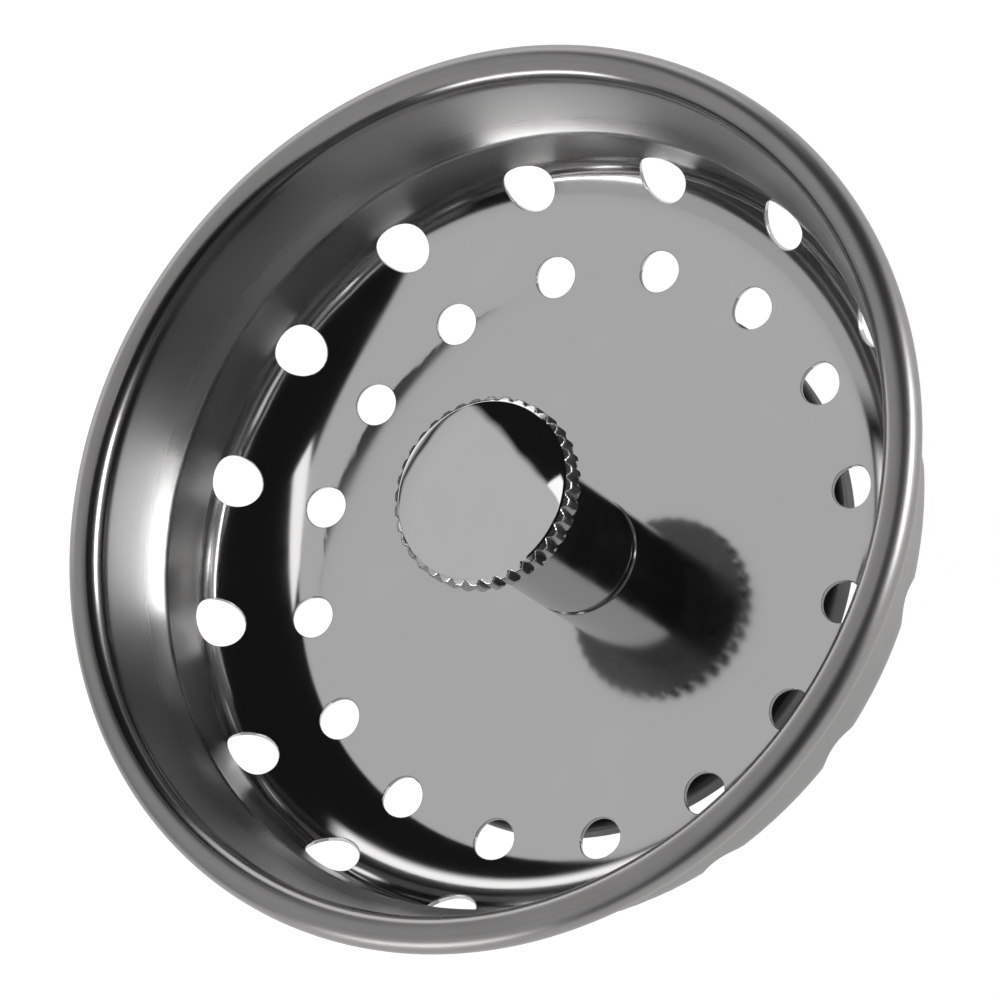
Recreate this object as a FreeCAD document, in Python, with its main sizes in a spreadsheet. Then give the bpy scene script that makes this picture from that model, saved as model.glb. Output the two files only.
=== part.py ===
import FreeCAD, Part
import math
import os
import re
import PartDesign
import Sketcher

# Sink strainer: a perforated cup with a curled rim, and a spindle that turns in its floor.
# Millimetres and degrees. +Z is the axis, pointing up out of the cup.
# The origin is on the axis, level with the underside of the curled rim, where the cup sits in a drain.

sizes = {
    # strainer_cup: one pressing of thin sheet
    "rim_radius": 41.6,
    "curl_radius": 1.65,
    "curl_wrap_angle": 280,
    "sheet": 0.5,
    "floor_depth": 17.5,
    "floor_radius": 25.55,
    "bowl_radius": 12.5,
    "bowl_angle": 48,
    "bend_radius": 4.0,
    "shoulder_height": 12.0,
    "shoulder_radius": 0.5,
    # the two rings of drain holes, in line with each other
    "drain_count": 16,
    "inner_hole_radius": 1.95,
    "inner_hole_outset": 1.57,
    "outer_hole_radius": 2.33,
    "outer_hole_stretch": 0.5,
    # play between the floor and the spindle that turns in it, and slip of pieces on each other
    "axial_play": 0.1,
    "running_clearance": 0.08,
    "slip_clearance": 0.05,
    # knob: crowned disc with a knurled edge, and a tapped hub below it
    "knob_radius": 8.75,
    "knob_height": 3.55,
    "crown_radius": 27.0,
    "knob_edge_radius": 0.7,
    "knob_chamfer": 0.25,
    "cap_wall": 1.5,
    "knurl_count": 36,
    "knurl_depth": 0.42,
    "knurl_width": 1.05,
    "hub_radius": 4.4,
    "hub_gap": 4.8,
    # post_sleeve
    "post_radius": 5.7,
    "post_length": 17.0,
    "foot_round": 0.5,
    # floor_bush
    "bush_flange_radius": 4.9,
    "bush_flange_height": 1.2,
    "bush_neck_radius": 4.2,
    # stem
    "stem_radius": 3.175,
    "stem_gap": 0.5,
    "stem_chamfer": 0.8,
    "stem_tail": 14.0,
    "relief_width": 1.2,
    "relief_depth": 0.5,
    # thrust_washer
    "thrust_radius": 9.0,
    "thrust_height": 1.5,
    # stopper
    "stopper_radius": 25.5,
    "stopper_height": 4.2,
    "stopper_round": 0.6,
    "stopper_edge_height": 2.2,
    "stopper_bevel": 2.6,
    "recess_margin": 0.5,
    "recess_depth": 0.4,
    # backing_washer, lock_washer and hex_nut
    "backing_radius": 10.0,
    "backing_height": 1.0,
    "backing_chamfer": 0.25,
    "lock_radius": 5.4,
    "lock_height": 1.6,
    "lock_slit_angle": 14,
    "nut_flats": 11.1,
    "nut_height": 5.6,
    "nut_chamfer": 0.7,
    # how far cutting tools reach past what they cut
    "overrun": 1.0,
}

doc = FreeCAD.newDocument("sink_strainer")
sheet = doc.addObject("Spreadsheet::Sheet", "Sizes")
for row, (name, number) in enumerate(sizes.items(), start=1):
    sheet.set(f"A{row}", name)
    sheet.set(f"B{row}", str(number))
    sheet.setAlias(f"B{row}", name)
doc.recompute()


def bound(text):
    """An expression in size names, with each name pointing at its cell."""
    return re.sub(r"[a-z]\w+", lambda word: "Sizes." + word[0] if word[0] in sizes else word[0], text)


def value(text):
    return float(sheet.evalExpression(bound(text)))


# Levels and radii that several pieces share, as expressions
floor_top = "(-floor_depth)"
floor_under = "(-floor_depth - sheet)"
post_foot = f"({floor_top} + axial_play)"
knob_seat = f"({post_foot} + post_length)"
thrust_top = f"({floor_under} - axial_play)"
stopper_top = f"({thrust_top} - thrust_height)"
backing_top = f"({stopper_top} - stopper_height)"
lock_top = f"({backing_top} - backing_height)"
nut_top = f"({lock_top} - lock_height)"
nut_under = f"({nut_top} - nut_height)"
hole_on_stem = "(stem_radius + slip_clearance)"
tap_top = "(knob_height - cap_wall)"
neck_length = "(sheet + 2 * axial_play)"


def new_body(label, level="0"):
    """A body for one piece, at its level on the axis."""
    body = doc.addObject("PartDesign::Body", label)
    body.Label = label
    body.setExpression("Placement.Base.z", bound(level))
    return body


def origin_of(body, role):
    return next(feature for feature in body.Origin.OriginFeatures if feature.Role == role)


def sketch_on(body, role, name):
    sketch = body.newObject("Sketcher::SketchObject", f"{body.Label}_{name}")
    sketch.AttachmentSupport = [(origin_of(body, role), "")]
    sketch.MapMode = "FlatFace"
    return sketch


def arc_between(start, end, radius, turn):
    """Arc from start to end: turn is 1 anticlockwise, -1 clockwise, 2 or -2 the longer way round."""
    along = end - start
    lift = math.sqrt(max(radius**2 - along.Length**2 / 4, 0))
    side = FreeCAD.Vector(-along.y, along.x, 0).normalize()
    if turn in (-1, 2):
        side = -side
    centre = (start + end) / 2 + side * lift
    angles = [math.atan2(p.y - centre.y, p.x - centre.x) for p in (start, end)]
    if turn < 0:
        angles.reverse()
    return Part.ArcOfCircle(Part.Circle(centre, FreeCAD.Vector(0, 0, 1), radius), *angles)


def fix_point(sketch, edge, end, place):
    """Holds one end of an edge at a place given by two expressions."""
    for axis, kind, text in ((-2, "DistanceX", place[0]), (-1, "DistanceY", place[1])):
        number = value(text)
        if abs(number) < FreeCAD.Base.Precision.confusion():
            sketch.addConstraint(Sketcher.Constraint("PointOnObject", edge, end, axis))
            continue
        index = sketch.addConstraint(Sketcher.Constraint(kind, edge, end, number))
        sketch.setExpression(f"Constraints[{index}]", bound(text))


def outline(sketch, corners):
    """A closed outline. A corner is (x, y), or (x, y, radius, turn) where an arc leads to it."""
    points = [FreeCAD.Vector(value(corner[0]), value(corner[1]), 0) for corner in corners]
    first = sketch.GeometryCount
    count = len(corners)
    ends = []
    for index in range(count):
        start, end = points[index - 1], points[index]
        if len(corners[index]) == 2:
            edge = sketch.addGeometry(Part.LineSegment(start, end), False)
            ends.append((1, 2))
            continue
        radius, turn = corners[index][2:]
        edge = sketch.addGeometry(arc_between(start, end, value(radius), turn), False)
        limit = sketch.addConstraint(Sketcher.Constraint("Radius", edge, value(radius)))
        sketch.setExpression(f"Constraints[{limit}]", bound(radius))
        ends.append((1, 2) if turn > 0 else (2, 1))
    for index in range(count):
        following = (index + 1) % count
        edge, end = first + index, ends[index][1]
        joined = Sketcher.Constraint("Coincident", edge, end, first + following, ends[following][0])
        sketch.addConstraint(joined)
        fix_point(sketch, edge, end, corners[index])


def turned(label, level, corners, angle="360"):
    """A body turned about Z from half its section."""
    body = new_body(label, level)
    section = sketch_on(body, "XZ_Plane", "section")
    outline(section, corners)
    turning = body.newObject("PartDesign::Revolution", f"{label}_turning")
    turning.Profile = section
    turning.ReferenceAxis = (section, ["V_Axis"])
    turning.setExpression("Angle", bound(angle))
    doc.recompute()
    return body


def cut_through(body, sketch, length, side="Symmetric"):
    """A pocket of that length. Stops the build if it removes nothing."""
    before = body.Shape.Volume
    pocket = body.newObject("PartDesign::Pocket", f"{sketch.Label}_cut")
    pocket.Profile = sketch
    pocket.SideType = side
    pocket.setExpression("Length", bound(length))
    doc.recompute()
    if body.Shape.Volume >= before:
        raise RuntimeError(f"{pocket.Label} cut nothing")
    return pocket


def around_axis(body, cuts, count):
    """Repeats cuts evenly about Z."""
    pattern = body.newObject("PartDesign::PolarPattern", f"{body.Label}_ring")
    pattern.Originals = cuts
    pattern.Axis = (origin_of(body, "Z_Axis"), [""])
    pattern.setExpression("Occurrences", bound(count))
    body.Tip = pattern
    doc.recompute()


def make_cup():
    slope_sin, slope_cos = "sin(bowl_angle)", "cos(bowl_angle)"
    bowl_level = f"({floor_top} + bowl_radius)"
    bend_centre = f"(floor_radius + (bowl_radius - bend_radius) * {slope_sin})"
    bend_level = f"({bowl_level} - (bowl_radius - bend_radius) * {slope_cos})"
    wall = f"({bend_centre} + bend_radius)"
    shoulder = f"({floor_top} + shoulder_height)"
    curl_centre, lip = "(rim_radius - curl_radius)", "(rim_radius - 2 * curl_radius)"
    curl_end = "(180 - curl_wrap_angle)"
    # the flare is an arc, upright where it meets the curl, and it curves in where the rim is the narrower
    flares_out = value(lip) > value(wall)
    side = "1" if flares_out else "-1"
    out, up = f"({side} * ({lip} - {wall}))", f"(curl_radius - {shoulder})"
    flare_radius = f"(({out} * {out} + {up} * {up}) / (2 * {out}))"
    flare_centre = f"({lip} - {side} * {flare_radius})"
    # the shoulder's round touches the wall and the flare
    round_radius = "(shoulder_radius + sheet)" if flares_out else "shoulder_radius"
    round_centre = f"({wall} + {side} * {round_radius})"
    apart = f"({flare_radius} + {round_radius})"
    across = f"({round_centre} - {flare_centre})"
    drop = f"sqrt({apart} * {apart} - {across} * {across})"

    def skin(offset):
        """The line from the floor's hole to the curl's end, on the inside or one sheet further out."""
        bowl, bend = f"(bowl_radius + {offset})", f"(bend_radius + {offset})"
        curl = f"(curl_radius - {offset})"
        flare = f"({flare_radius} + {side} * {offset})"
        flex = f"({round_radius} - {side} * {offset})"
        foot = (f"{flare_centre} + {across} * {flare} / {apart}", f"curl_radius - {drop} * {flare} / {apart}")
        tip = (f"{curl_centre} + {curl} * cos({curl_end})", f"curl_radius + {curl} * sin({curl_end})")
        return [
            ("(bush_neck_radius + running_clearance)", f"{floor_top} - {offset}"),
            ("floor_radius", f"{floor_top} - {offset}"),
            (f"floor_radius + {bowl} * {slope_sin}", f"{bowl_level} - {bowl} * {slope_cos}", bowl, 1),
            (f"{wall} + {offset}", bend_level, bend, 1),
            (f"{wall} + {offset}", f"curl_radius - {drop}"),
            (*foot, flex, -1 if flares_out else 1),
            (f"{curl_centre} - {curl}", "curl_radius", flare, 1 if flares_out else -1),
            (*tip, curl, -2),
        ]

    inside, outside = skin("0"), skin("sheet")
    # the outside is walked back from the curl's end, so each arc belongs to the corner before it
    back = []
    for index in range(len(outside) - 1, -1, -1):
        arc = outside[index + 1][2:] if index + 1 < len(outside) else ()
        back.append((*outside[index][:2], arc[0], -arc[1]) if arc else outside[index][:2])
    cup = turned("strainer_cup", "0", inside + back)

    inner = sketch_on(cup, "XY_Plane", "inner_hole")
    inner.setExpression("AttachmentOffset.Base.z", bound(floor_top))
    add_slot(inner, "floor_radius + inner_hole_outset", "inner_hole_radius", "0")
    inner_cut = cut_through(cup, inner, "2 * (sheet + overrun)")

    outer = sketch_on(cup, "XY_Plane", "outer_hole")
    tilt = FreeCAD.Rotation(FreeCAD.Vector(0, -1, 0), value("bowl_angle"))
    outer.AttachmentOffset = FreeCAD.Placement(FreeCAD.Vector(0, 0, 0), tilt)
    outer.setExpression("AttachmentOffset.Rotation.Angle", bound("bowl_angle"))
    outer.setExpression("AttachmentOffset.Base.x", bound(f"floor_radius + bowl_radius * {slope_sin}"))
    outer.setExpression("AttachmentOffset.Base.z", bound(f"{bowl_level} - bowl_radius * {slope_cos}"))
    add_slot(outer, "0", "outer_hole_radius", "outer_hole_stretch")
    outer_cut = cut_through(cup, outer, "2 * (sheet + outer_hole_radius)")
    around_axis(cup, [inner_cut, outer_cut], "drain_count")
    return cup


def add_slot(sketch, centre, radius, stretch):
    """A round hole, or a slot drawn out by stretch along X."""
    if stretch == "0":
        place = FreeCAD.Vector(value(centre), 0, 0)
        hole = sketch.addGeometry(Part.Circle(place, FreeCAD.Vector(0, 0, 1), value(radius)), False)
        limit = sketch.addConstraint(Sketcher.Constraint("Radius", hole, value(radius)))
        sketch.setExpression(f"Constraints[{limit}]", bound(radius))
        fix_point(sketch, hole, 3, (centre, "0"))
        return
    low, high = f"({centre} - {stretch} / 2)", f"({centre} + {stretch} / 2)"
    corners = [
        (high, f"-{radius}"),
        (f"{high} + {radius}", "0", radius, 1),
        (high, radius, radius, 1),
        (low, radius),
        (f"{low} - {radius}", "0", radius, 1),
        (low, f"-{radius}", radius, 1),
    ]
    outline(sketch, corners)


def make_knob():
    # the rounded edge touches the crown and the knurled band
    edge_centre, to_edge = "(knob_radius - knob_edge_radius)", "(crown_radius - knob_edge_radius)"
    crown_centre = "(knob_height - crown_radius)"
    rise = f"sqrt({to_edge} * {to_edge} - {edge_centre} * {edge_centre})"
    face = f"({edge_centre} * crown_radius / {to_edge})"
    face_level = f"({crown_centre} + {rise} * crown_radius / {to_edge})"
    hub_end = "(-(post_length - bush_flange_height - hub_gap))"
    knob = turned("knob", knob_seat, [
        (hole_on_stem, hub_end),
        ("hub_radius", hub_end),
        ("hub_radius", "0"),
        ("knob_radius - knob_chamfer", "0"),
        ("knob_radius", "knob_chamfer"),
        ("knob_radius", f"{crown_centre} + {rise}"),
        (face, face_level, "knob_edge_radius", 1),
        ("0", "knob_height", "crown_radius", 1),
        ("0", tap_top),
        (hole_on_stem, tap_top),
    ])
    groove = sketch_on(knob, "XY_Plane", "groove")
    reach = "(knob_radius + overrun)"
    spread = "(knurl_width / 2 * (knurl_depth + overrun) / knurl_depth)"
    outline(groove, [("knob_radius - knurl_depth", "0"), (reach, f"-{spread}"), (reach, spread)])
    cut = cut_through(knob, groove, "2 * (knob_height + overrun)")
    around_axis(knob, [cut], "knurl_count")
    return knob


def make_post():
    recess = "(bush_flange_radius + slip_clearance)"
    bore = "(hub_radius + slip_clearance)"
    return turned("post_sleeve", post_foot, [
        (recess, "0"),
        ("post_radius - foot_round", "0"),
        ("post_radius", "foot_round", "foot_round", 1),
        ("post_radius", "post_length"),
        (bore, "post_length"),
        (bore, "bush_flange_height"),
        (recess, "bush_flange_height"),
    ])


def make_bush():
    return turned("floor_bush", post_foot, [
        (hole_on_stem, f"-{neck_length}"),
        ("bush_neck_radius", f"-{neck_length}"),
        ("bush_neck_radius", "0"),
        ("bush_flange_radius", "0"),
        ("bush_flange_radius", "bush_flange_height"),
        (hole_on_stem, "bush_flange_height"),
    ])


def make_stem():
    top = f"({knob_seat} + {tap_top} - stem_gap)"
    end = f"({nut_under} - stem_tail)"
    waist = "(stem_radius - relief_depth)"
    return turned("stem", "0", [
        ("0", end),
        ("stem_radius - stem_chamfer", end),
        ("stem_radius", f"{end} + stem_chamfer"),
        ("stem_radius", f"{nut_under} - relief_width"),
        (waist, f"{nut_under} - relief_width"),
        (waist, nut_under),
        ("stem_radius", nut_under),
        ("stem_radius", f"{top} - stem_chamfer"),
        ("stem_radius - stem_chamfer", top),
        ("0", top),
    ])


def make_thrust_washer():
    return turned("thrust_washer", stopper_top, [
        (hole_on_stem, "0"),
        ("thrust_radius", "0"),
        ("thrust_radius", "thrust_height"),
        (hole_on_stem, "thrust_height"),
    ])


def make_stopper():
    # the backing washer lies in a shallow recess, inside the ring that seals
    recess = "(backing_radius + recess_margin)"
    return turned("stopper", backing_top, [
        (hole_on_stem, "0"),
        (recess, "0"),
        (recess, "-recess_depth"),
        ("stopper_radius - stopper_bevel", "-recess_depth"),
        ("stopper_radius", "stopper_height - stopper_edge_height"),
        ("stopper_radius", "stopper_height - stopper_round"),
        ("stopper_radius - stopper_round", "stopper_height", "stopper_round", 1),
        (hole_on_stem, "stopper_height"),
    ])


def make_backing_washer():
    return turned("backing_washer", lock_top, [
        (hole_on_stem, "0"),
        ("backing_radius - backing_chamfer", "0"),
        ("backing_radius", "backing_chamfer"),
        ("backing_radius", "backing_height"),
        (hole_on_stem, "backing_height"),
    ])


def make_lock_washer():
    section = [
        (hole_on_stem, "0"),
        ("lock_radius", "0"),
        ("lock_radius", "lock_height"),
        (hole_on_stem, "lock_height"),
    ]
    return turned("lock_washer", nut_top, section, "360 - lock_slit_angle")


def make_nut():
    nut = new_body("hex_nut", nut_under)
    hexagon = sketch_on(nut, "XY_Plane", "hexagon")
    corner = "(nut_flats / sqrt(3))"
    turns = range(0, 360, 60)
    outline(hexagon, [(f"{corner} * cos({turn})", f"{corner} * sin({turn})") for turn in turns])
    add_slot(hexagon, "0", hole_on_stem, "0")
    prism = nut.newObject("PartDesign::Pad", "hex_nut_prism")
    prism.Profile = hexagon
    prism.setExpression("Length", bound("nut_height"))
    doc.recompute()
    before = nut.Shape.Volume
    # the corners are turned off at both faces
    reach = f"({corner} + overrun)"
    flat = "(nut_flats / 2)"
    drop = f"(nut_chamfer * ({reach} - {flat}) / ({corner} - {flat}))"
    corners = sketch_on(nut, "XZ_Plane", "corners")
    outline(corners, [(flat, "0"), (reach, "0"), (reach, drop)])
    outline(corners, [(flat, "nut_height"), (reach, f"nut_height - {drop}"), (reach, "nut_height")])
    turning = nut.newObject("PartDesign::Groove", "hex_nut_turning")
    turning.Profile = corners
    turning.ReferenceAxis = (corners, ["V_Axis"])
    turning.Angle = 360
    doc.recompute()
    if nut.Shape.Volume >= before:
        raise RuntimeError("the nut's corners were not turned off")
    return nut


pieces = [
    make_cup(),
    make_knob(),
    make_post(),
    make_bush(),
    make_stem(),
    make_thrust_washer(),
    make_stopper(),
    make_backing_washer(),
    make_lock_washer(),
    make_nut(),
]
doc.recompute()

failed = [item.Label for item in doc.Objects if {"Invalid", "Error"} & set(item.State)]
failed += [piece.Label for piece in pieces if piece.Shape.isNull() or not piece.Shape.isValid()]
failed += [piece.Label for piece in pieces if len(piece.Shape.Solids) != 1]
if failed:
    raise RuntimeError(f"these did not build: {failed}")

os.makedirs("parts", exist_ok=True)
for piece in pieces:
    piece.Shape.exportStep(f"parts/{piece.Label}.step")
    print(piece.Label, round(piece.Shape.Volume, 2), "mm3")
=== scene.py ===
import math

import bpy
import numpy as np
from mathutils import Matrix, Vector


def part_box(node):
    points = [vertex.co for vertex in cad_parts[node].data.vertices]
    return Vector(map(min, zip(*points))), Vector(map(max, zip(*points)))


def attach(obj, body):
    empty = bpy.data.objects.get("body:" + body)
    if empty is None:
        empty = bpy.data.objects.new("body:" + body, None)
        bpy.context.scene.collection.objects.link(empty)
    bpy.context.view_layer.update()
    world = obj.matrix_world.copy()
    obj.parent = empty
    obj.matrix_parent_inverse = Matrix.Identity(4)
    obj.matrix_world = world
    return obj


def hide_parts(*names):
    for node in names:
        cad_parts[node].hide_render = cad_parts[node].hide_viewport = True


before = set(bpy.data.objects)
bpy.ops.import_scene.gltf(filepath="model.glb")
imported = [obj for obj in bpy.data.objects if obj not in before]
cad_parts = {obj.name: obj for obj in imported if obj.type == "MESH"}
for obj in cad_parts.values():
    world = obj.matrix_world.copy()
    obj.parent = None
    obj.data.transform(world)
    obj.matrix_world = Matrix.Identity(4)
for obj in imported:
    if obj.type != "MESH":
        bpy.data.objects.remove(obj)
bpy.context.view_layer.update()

mm = 0.001
turn = 2 * math.pi
print("frame loaded:", len(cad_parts), "solids")


# levels shared by the pieces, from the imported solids, in millimetres
def boxOf(node):
    low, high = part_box(node)
    return low / mm, high / mm


cupLow, cupHigh = boxOf("strainer_cup")
cupBottom, rimTop, rimRadius = cupLow.z, cupHigh.z, cupHigh.x
stemEnd = boxOf("stem")[0].z
curlRadius = rimTop / 2          # the origin is level with the underside of the curl
curlLevel = rimTop - curlRadius


# a path in the (radius, height) plane: runs of (length, curvature) from a start and a heading
def layPath(start, heading, runs):
    path, x, y = [], *start
    for length, bend in runs:
        path.append((length, x, y, heading, bend))
        x, y, heading = alongRun(path[-1], length)
    return path


def alongRun(run, length):
    _, x, y, heading, bend = run
    if bend == 0:
        return x + length * math.cos(heading), y + length * math.sin(heading), heading
    after = heading + bend * length
    x += (math.sin(after) - math.sin(heading)) / bend
    y -= (math.cos(after) - math.cos(heading)) / bend
    return x, y, after


def pathAt(path, s):
    for run in path:
        if s <= run[0] or run is path[-1]:
            x, y, heading = alongRun(run, s)
            return x, y, -math.sin(heading), math.cos(heading)
        s -= run[0]


# a section walked clockwise, corner by corner (radius, height, rounding), as rows with normals
def roundedRows(corners, stepAngle=15):
    rows = []
    for i, (x, y, rounding) in enumerate(corners):
        here = Vector((x, y))
        into = (here - Vector(corners[i - 1][:2])).normalized()
        out = (Vector(corners[(i + 1) % len(corners)][:2]) - here).normalized()
        swing = math.atan2(into.x * out.y - into.y * out.x, into.dot(out))
        trim = rounding * math.tan(abs(swing) / 2)
        run = (0, *(here - into * trim), math.atan2(into.y, into.x), math.copysign(1 / rounding, swing))
        steps = max(2, math.ceil(abs(swing) / math.radians(stepAngle)))
        for k in range(steps + 1):
            r, z, heading = alongRun(run, k / steps * abs(swing) * rounding)
            rows.append((r, z, -math.sin(heading), math.cos(heading)))
    return rows


def onCircle(r, angle, z):
    return r * math.cos(angle), r * math.sin(angle), z


def addPiece(name, points, faces, normals=None, sharpAngle=32):
    points = np.array(points, float)
    mesh = bpy.data.meshes.new(name)
    if normals is not None:
        normals = np.array(normals, float)
        faces = [facing(face, points, normals) for face in faces]
    mesh.from_pydata((points * mm).tolist(), [], faces)
    mesh.shade_smooth()
    if normals is None:
        mesh.set_sharp_from_angle(angle=math.radians(sharpAngle))
    else:
        mesh.normals_split_custom_set_from_vertices(normals.tolist())
    mesh.update()
    piece = bpy.data.objects.new(name, mesh)
    bpy.context.scene.collection.objects.link(piece)
    return piece


# the face with its front on the side that its normals point to
def facing(face, points, normals):
    a, b, c = (points[i] for i in (face[0], face[1], face[2]))
    across = np.cross(b - a, c - a)
    return face if across @ sum(normals[i] for i in face) >= 0 else face[::-1]


# turns the rows of a closed section about the axis
def turnedPiece(name, rows, around):
    points, normals, rings = [], [], []
    for r, z, nr, nz in rows:
        rings.append([len(points) + k for k in range(around)])
        for k in range(around):
            angle = turn * k / around
            points.append(onCircle(r, angle, z))
            normals.append(onCircle(nr, angle, nz))
    return addPiece(name, points, joinRings(rings + rings[:1]), normals)


def joinRings(rings):
    faces = []
    for lower, upper in zip(rings, rings[1:]):
        faces += ringFaces(lower, upper)
    return faces


# faces between two rings of points, either of which may be a single point
def ringFaces(lower, upper):
    count = max(len(lower), len(upper))
    faces = []
    for k in range(count):
        after = (k + 1) % count
        if len(lower) == 1:
            faces.append((lower[0], upper[k], upper[after]))
        elif len(upper) == 1:
            faces.append((lower[k], upper[0], lower[after]))
        else:
            faces.append((lower[k], upper[k], upper[after], lower[after]))
    return faces


def dress(piece, node, body, slot, *materials):
    for material in materials:
        piece.data.materials.append(material)
    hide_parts(node)
    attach(piece, body)
    print("made", piece.name, len(piece.data.vertices), "points")


# node helpers
class Nodes:
    def __init__(self, tree):
        self.tree = tree

    def add(self, kind, **values):
        node = self.tree.nodes.new(kind)
        for key, value in values.items():
            setattr(node, key, value)
        return node

    def put(self, value, socket):
        if isinstance(value, bpy.types.NodeSocket):
            self.tree.links.new(value, socket)
        else:
            socket.default_value = value

    def math(self, operation, *inputs):
        node = self.add("ShaderNodeMath", operation=operation)
        for value, socket in zip(inputs, node.inputs):
            self.put(value, socket)
        return node.outputs[0]

    def dot(self, vector, constant):
        node = self.add("ShaderNodeVectorMath", operation="DOT_PRODUCT")
        self.put(vector, node.inputs[0])
        self.put(constant, node.inputs[1])
        return node.outputs["Value"]

    def ramp(self, value, start, end, low=0.0, high=1.0, kind="SMOOTHSTEP"):
        node = self.add("ShaderNodeMapRange", interpolation_type=kind)
        for given, socket in zip((value, start, end, low, high), node.inputs):
            self.put(given, socket)
        return node.outputs[0]

    def between(self, share, first, second):
        return self.ramp(share, 0.0, 1.0, first, second, "LINEAR")

    def noise(self, vector, scale, detail=2.0):
        node = self.add("ShaderNodeTexNoise")
        self.put(vector, node.inputs["Vector"])
        self.put(scale, node.inputs["Scale"])
        self.put(detail, node.inputs["Detail"])
        return node.outputs["Fac"]

    def tint(self, share, first, second):
        node = self.add("ShaderNodeMix", data_type="RGBA")
        self.put(share, node.inputs[0])
        self.put(first, node.inputs[6])
        self.put(second, node.inputs[7])
        return node.outputs[2]

    def bump(self, height, distance, strength=1.0, normal=None):
        node = self.add("ShaderNodeBump")
        self.put(strength, node.inputs["Strength"])
        self.put(distance, node.inputs["Distance"])
        self.put(height, node.inputs["Height"])
        if normal is not None:
            self.put(normal, node.inputs["Normal"])
        return node.outputs["Normal"]


noiseSpan = (0.3, 0.7)           # most of a noise's values lie between these


def newMaterial(name):
    material = bpy.data.materials.new(name)
    material.use_nodes = True
    nodes = Nodes(material.node_tree)
    shader = material.node_tree.nodes["Principled BSDF"]
    place = nodes.add("ShaderNodeTexCoord").outputs["Object"]
    return material, nodes, shader, place


def grey(level, warm=0.0):
    return (level + warm, level, level - warm, 1.0)


brushDrift = 0.00002             # how far the brush lines drift, in metres for each radian round the axis


# a place for noise that runs round the axis in lines, and the height above the origin
def roundTheAxis(nodes, place):
    parts = nodes.add("ShaderNodeSeparateXYZ")
    nodes.put(place, parts.inputs[0])
    x, y, z = parts.outputs
    square = nodes.math("ADD", nodes.math("MULTIPLY", x, x), nodes.math("MULTIPLY", y, y))
    drift = nodes.math("MULTIPLY", nodes.math("ARCTAN2", y, x), brushDrift)
    joined = nodes.add("ShaderNodeCombineXYZ")
    for value, socket in zip((nodes.math("SQRT", square), z, drift), joined.inputs):
        nodes.put(value, socket)
    return joined.outputs[0], z


# the cup's steel is brushed round the axis; inside, the polish of the bowl fades out up the wall
steel = {
    # base colour on the floor and up the wall, and the roughness of each zone
    "inside": {"low": 0.52, "high": 0.45, "polish": (0.07, 0.1),
               "wall": 0.36, "flare": 0.22, "lip": 0.38, "bead": 0.22},
    # the outside's low base colour is painted shade, for the shaded ground it reflects; its roughness is its
    # own
    "outside": {"low": 0.31, "high": 0.31, "polish": (0.42, 0.46),
                "wall": 0.46, "flare": 0.42, "lip": 0.42, "bead": 0.35},
    # where a zone begins and where it is full, in millimetres above the cup's bottom
    "wallFrom": (4.5, 8.0), "flareFrom": (10.0, 13.5), "lipFrom": (12.8, 16.5), "beadFrom": (18.6, 19.8),
    "anisotropy": {"wall": 0.4, "flare": 0.92, "bead": 0.2}, "acrossLines": 0.25,
    "beadPaintedShadeLevel": 0.26, "warm": 0.003, "shade": 0.02, "shadeFrom": (0.4, 1.1), "cloudScale": 130,
    "grainScale": 9000, "grainDepth": 0.00000006, "grainSatin": (0.95, 1.05), "grainFade": 3.0,
    "waveScale": 90, "waveDepth": 0.000003,
}


def cupSteel(name, finish):
    material, nodes, shader, place = newMaterial(name)
    lines, height = roundTheAxis(nodes, place)
    grain = nodes.noise(lines, steel["grainScale"])
    cloud = nodes.noise(place, steel["cloudScale"], detail=3.0)
    wall, flare, lip, bead = (nodes.ramp(height, *((cupBottom + level) * mm for level in steel[zone]))
                              for zone in ("wallFrom", "flareFrom", "lipFrom", "beadFrom"))
    shader.inputs["Metallic"].default_value = 1.0

    # light spreads across the brush lines, most of all on the flare
    shader.inputs["Anisotropic Rotation"].default_value = steel["acrossLines"]
    tangent = nodes.add("ShaderNodeTangent", direction_type="RADIAL", axis="Z")
    nodes.put(tangent.outputs[0], shader.inputs["Tangent"])
    spread = steel["anisotropy"]
    stretch = nodes.between(flare, spread["wall"], spread["flare"])
    nodes.put(nodes.between(bead, stretch, spread["bead"]), shader.inputs["Anisotropic"])

    # colour, a little uneven
    mottle = nodes.math("ADD", nodes.math("MULTIPLY", grain, wall), cloud)
    shade = nodes.ramp(mottle, *steel["shadeFrom"], -steel["shade"], steel["shade"])
    # the bead's lower base colour is painted shade
    level = nodes.between(bead, nodes.between(wall, finish["low"], finish["high"]), steel["beadPaintedShadeLevel"])
    level = nodes.math("ADD", level, shade)
    colour = nodes.add("ShaderNodeCombineColor")
    for warm, socket in zip((steel["warm"], 0.0, -steel["warm"]), colour.inputs):
        nodes.put(nodes.math("ADD", level, warm), socket)
    nodes.put(colour.outputs[0], shader.inputs["Base Color"])

    # polished below, satin above
    polish = nodes.ramp(cloud, *noiseSpan, *finish["polish"])
    satin = nodes.between(flare, finish["wall"], finish["flare"])
    satin = nodes.between(lip, satin, finish["lip"])
    satin = nodes.between(bead, satin, finish["bead"])
    satin = nodes.math("MULTIPLY", nodes.ramp(grain, *noiseSpan, *steel["grainSatin"]), satin)
    nodes.put(nodes.between(wall, polish, satin), shader.inputs["Roughness"])

    wave = nodes.bump(nodes.noise(place, steel["waveScale"], detail=1.0), steel["waveDepth"])
    brushed = nodes.math("MULTIPLY", grain, nodes.math("POWER", wall, steel["grainFade"]))
    nodes.put(nodes.bump(brushed, steel["grainDepth"], normal=wave), shader.inputs["Normal"])
    return material
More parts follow.
